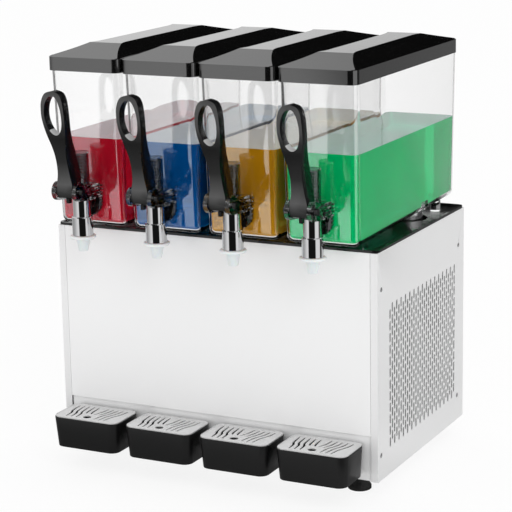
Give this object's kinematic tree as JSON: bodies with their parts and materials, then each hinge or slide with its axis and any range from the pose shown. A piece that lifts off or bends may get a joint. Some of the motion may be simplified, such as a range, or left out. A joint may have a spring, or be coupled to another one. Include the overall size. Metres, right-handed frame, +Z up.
{
  "type": "juice dispenser",
  "caption": "Countertop chilled juice dispenser: steel cabinet, clear lift-off tanks with black lids, lever taps on springs and pull-off drip trays with grids.",
  "frame": {"origin": "centre of the bounding box's footprint, at the underside of the feet", "axes": "+Z up, +X to the right seen from the front, +Y towards the back; the taps face -Y"},
  "size_m": [0.512, 0.465, 0.6235],
  "materials": {
    "brushed_steel": "satin brushed",
    "clear_plastic": "clear, polished",
    "gloss_black": "gloss",
    "black_plastic": "satin",
    "chrome": "polished",
    "white_plastic": "satin",
    "grid_steel": "pressed, satin",
    "drum_steel": "polished",
    "spring_steel": "drawn wire",
    "compressor_black": "satin paint",
    "coil_aluminium": "plain",
    "foot_rubber": "matte"
  },
  "bodies": {
    "cabinet": {"base_pan": "brushed_steel", "front_panel": "brushed_steel", "side_panel_left": "brushed_steel", "side_panel_right": "brushed_steel", "rear_panel": "brushed_steel", "top_deck": "black_plastic", "foot_front_left": "foot_rubber", "foot_front_right": "foot_rubber", "foot_rear_left": "foot_rubber", "foot_rear_right": "foot_rubber", "cooling_drums": "drum_steel", "drive_rail": "coil_aluminium", "compressor": "compressor_black", "condenser": "coil_aluminium", "power_inlet": "black_plastic"},
    "fan": {"fan": "black_plastic"},
    "tank_1": {"tank_1": "clear_plastic", "tap_body_1": "clear_plastic", "spout_1": "chrome", "spout_tip_1": "white_plastic", "spring_1": "spring_steel"},
    "lid_1": {"lid_1": "gloss_black"},
    "lever_1": {"lever_1": "gloss_black"},
    "plunger_1": {"plunger_1": "white_plastic"},
    "stirrer_1": {"stirrer_1": "white_plastic"},
    "tray_1": {"drip_tray_1": "black_plastic"},
    "grid_1": {"tray_grid_1": "grid_steel"},
    "tank_2": {"tank_2": "clear_plastic", "tap_body_2": "clear_plastic", "spout_2": "chrome", "spout_tip_2": "white_plastic", "spring_2": "spring_steel"},
    "lid_2": {"lid_2": "gloss_black"},
    "lever_2": {"lever_2": "gloss_black"},
    "plunger_2": {"plunger_2": "white_plastic"},
    "stirrer_2": {"stirrer_2": "white_plastic"},
    "tray_2": {"drip_tray_2": "black_plastic"},
    "grid_2": {"tray_grid_2": "grid_steel"},
    "tank_3": {"tank_3": "clear_plastic", "tap_body_3": "clear_plastic", "spout_3": "chrome", "spout_tip_3": "white_plastic", "spring_3": "spring_steel"},
    "lid_3": {"lid_3": "gloss_black"},
    "lever_3": {"lever_3": "gloss_black"},
    "plunger_3": {"plunger_3": "white_plastic"},
    "stirrer_3": {"stirrer_3": "white_plastic"},
    "tray_3": {"drip_tray_3": "black_plastic"},
    "grid_3": {"tray_grid_3": "grid_steel"},
    "tank_4": {"tank_4": "clear_plastic", "tap_body_4": "clear_plastic", "spout_4": "chrome", "spout_tip_4": "white_plastic", "spring_4": "spring_steel"},
    "lid_4": {"lid_4": "gloss_black"},
    "lever_4": {"lever_4": "gloss_black"},
    "plunger_4": {"plunger_4": "white_plastic"},
    "stirrer_4": {"stirrer_4": "white_plastic"},
    "tray_4": {"drip_tray_4": "black_plastic"},
    "grid_4": {"tray_grid_4": "grid_steel"}
  },
  "joints": [
    {"name": "fan_spin", "type": "hinge", "parent": "cabinet", "child": "fan", "pos_m": [0.172, 0.0565, 0.13565], "axis": [1, 0, 0], "continuous": true},
    {"name": "tank_lift_1", "type": "slide", "parent": "cabinet", "child": "tank_1", "axis": [0, 0, 1], "range_m": [0, 0.1]},
    {"name": "lid_lift_1", "type": "slide", "parent": "tank_1", "child": "lid_1", "axis": [0, 0, 1], "range_m": [0, 0.06]},
    {"name": "lever_pull_1", "type": "hinge", "parent": "tank_1", "child": "lever_1", "pos_m": [-0.18225, -0.1975, 0.426], "axis": [1, 0, 0], "range_deg": [0, 18], "stiffness_Nm_per_rad": 0.6, "springref_deg": -14.32},
    {"name": "plunger_lift_1", "type": "slide", "parent": "tank_1", "child": "plunger_1", "axis": [0, 0, 1], "range_m": [0, 0.0115], "deforming": ["spring_1"]},
    {"name": "stirrer_spin_1", "type": "hinge", "parent": "cabinet", "child": "stirrer_1", "pos_m": [-0.15625, 0.1115, 0.42], "axis": [0, 0, 1], "continuous": true},
    {"name": "tray_pull_1", "type": "slide", "parent": "cabinet", "child": "tray_1", "axis": [0, -1, 0], "range_m": [0, 0.09]},
    {"name": "grid_lift_1", "type": "slide", "parent": "tray_1", "child": "grid_1", "axis": [0, 0, 1], "range_m": [0, 0.04]},
    {"name": "tank_lift_2", "type": "slide", "parent": "cabinet", "child": "tank_2", "axis": [0, 0, 1], "range_m": [0, 0.1]},
    {"name": "lid_lift_2", "type": "slide", "parent": "tank_2", "child": "lid_2", "axis": [0, 0, 1], "range_m": [0, 0.06]},
    {"name": "lever_pull_2", "type": "hinge", "parent": "tank_2", "child": "lever_2", "pos_m": [-0.06075, -0.1975, 0.426], "axis": [1, 0, 0], "range_deg": [0, 18], "stiffness_Nm_per_rad": 0.6, "springref_deg": -14.32},
    {"name": "plunger_lift_2", "type": "slide", "parent": "tank_2", "child": "plunger_2", "axis": [0, 0, 1], "range_m": [0, 0.0115], "deforming": ["spring_2"]},
    {"name": "stirrer_spin_2", "type": "hinge", "parent": "cabinet", "child": "stirrer_2", "pos_m": [-0.03475, 0.1115, 0.42], "axis": [0, 0, 1], "continuous": true},
    {"name": "tray_pull_2", "type": "slide", "parent": "cabinet", "child": "tray_2", "axis": [0, -1, 0], "range_m": [0, 0.09]},
    {"name": "grid_lift_2", "type": "slide", "parent": "tray_2", "child": "grid_2", "axis": [0, 0, 1], "range_m": [0, 0.04]},
    {"name": "tank_lift_3", "type": "slide", "parent": "cabinet", "child": "tank_3", "axis": [0, 0, 1], "range_m": [0, 0.1]},
    {"name": "lid_lift_3", "type": "slide", "parent": "tank_3", "child": "lid_3", "axis": [0, 0, 1], "range_m": [0, 0.06]},
    {"name": "lever_pull_3", "type": "hinge", "parent": "tank_3", "child": "lever_3", "pos_m": [0.06075, -0.1975, 0.426], "axis": [1, 0, 0], "range_deg": [0, 18], "stiffness_Nm_per_rad": 0.6, "springref_deg": -14.32},
    {"name": "plunger_lift_3", "type": "slide", "parent": "tank_3", "child": "plunger_3", "axis": [0, 0, 1], "range_m": [0, 0.0115], "deforming": ["spring_3"]},
    {"name": "stirrer_spin_3", "type": "hinge", "parent": "cabinet", "child": "stirrer_3", "pos_m": [0.08675, 0.1115, 0.42], "axis": [0, 0, 1], "continuous": true},
    {"name": "tray_pull_3", "type": "slide", "parent": "cabinet", "child": "tray_3", "axis": [0, -1, 0], "range_m": [0, 0.09]},
    {"name": "grid_lift_3", "type": "slide", "parent": "tray_3", "child": "grid_3", "axis": [0, 0, 1], "range_m": [0, 0.04]},
    {"name": "tank_lift_4", "type": "slide", "parent": "cabinet", "child": "tank_4", "axis": [0, 0, 1], "range_m": [0, 0.1]},
    {"name": "lid_lift_4", "type": "slide", "parent": "tank_4", "child": "lid_4", "axis": [0, 0, 1], "range_m": [0, 0.06]},
    {"name": "lever_pull_4", "type": "hinge", "parent": "tank_4", "child": "lever_4", "pos_m": [0.18225, -0.1975, 0.426], "axis": [1, 0, 0], "range_deg": [0, 18], "stiffness_Nm_per_rad": 0.6, "springref_deg": -14.32},
    {"name": "plunger_lift_4", "type": "slide", "parent": "tank_4", "child": "plunger_4", "axis": [0, 0, 1], "range_m": [0, 0.0115], "deforming": ["spring_4"]},
    {"name": "stirrer_spin_4", "type": "hinge", "parent": "cabinet", "child": "stirrer_4", "pos_m": [0.20825, 0.1115, 0.42], "axis": [0, 0, 1], "continuous": true},
    {"name": "tray_pull_4", "type": "slide", "parent": "cabinet", "child": "tray_4", "axis": [0, -1, 0], "range_m": [0, 0.09]},
    {"name": "grid_lift_4", "type": "slide", "parent": "tray_4", "child": "grid_4", "axis": [0, 0, 1], "range_m": [0, 0.04]}
  ],
  "couplings": [
    {"joint": "plunger_lift_1", "follows": "lever_pull_1", "m_per_rad": 0.036},
    {"joint": "plunger_lift_2", "follows": "lever_pull_2", "m_per_rad": 0.036},
    {"joint": "plunger_lift_3", "follows": "lever_pull_3", "m_per_rad": 0.036},
    {"joint": "plunger_lift_4", "follows": "lever_pull_4", "m_per_rad": 0.036}
  ]
}
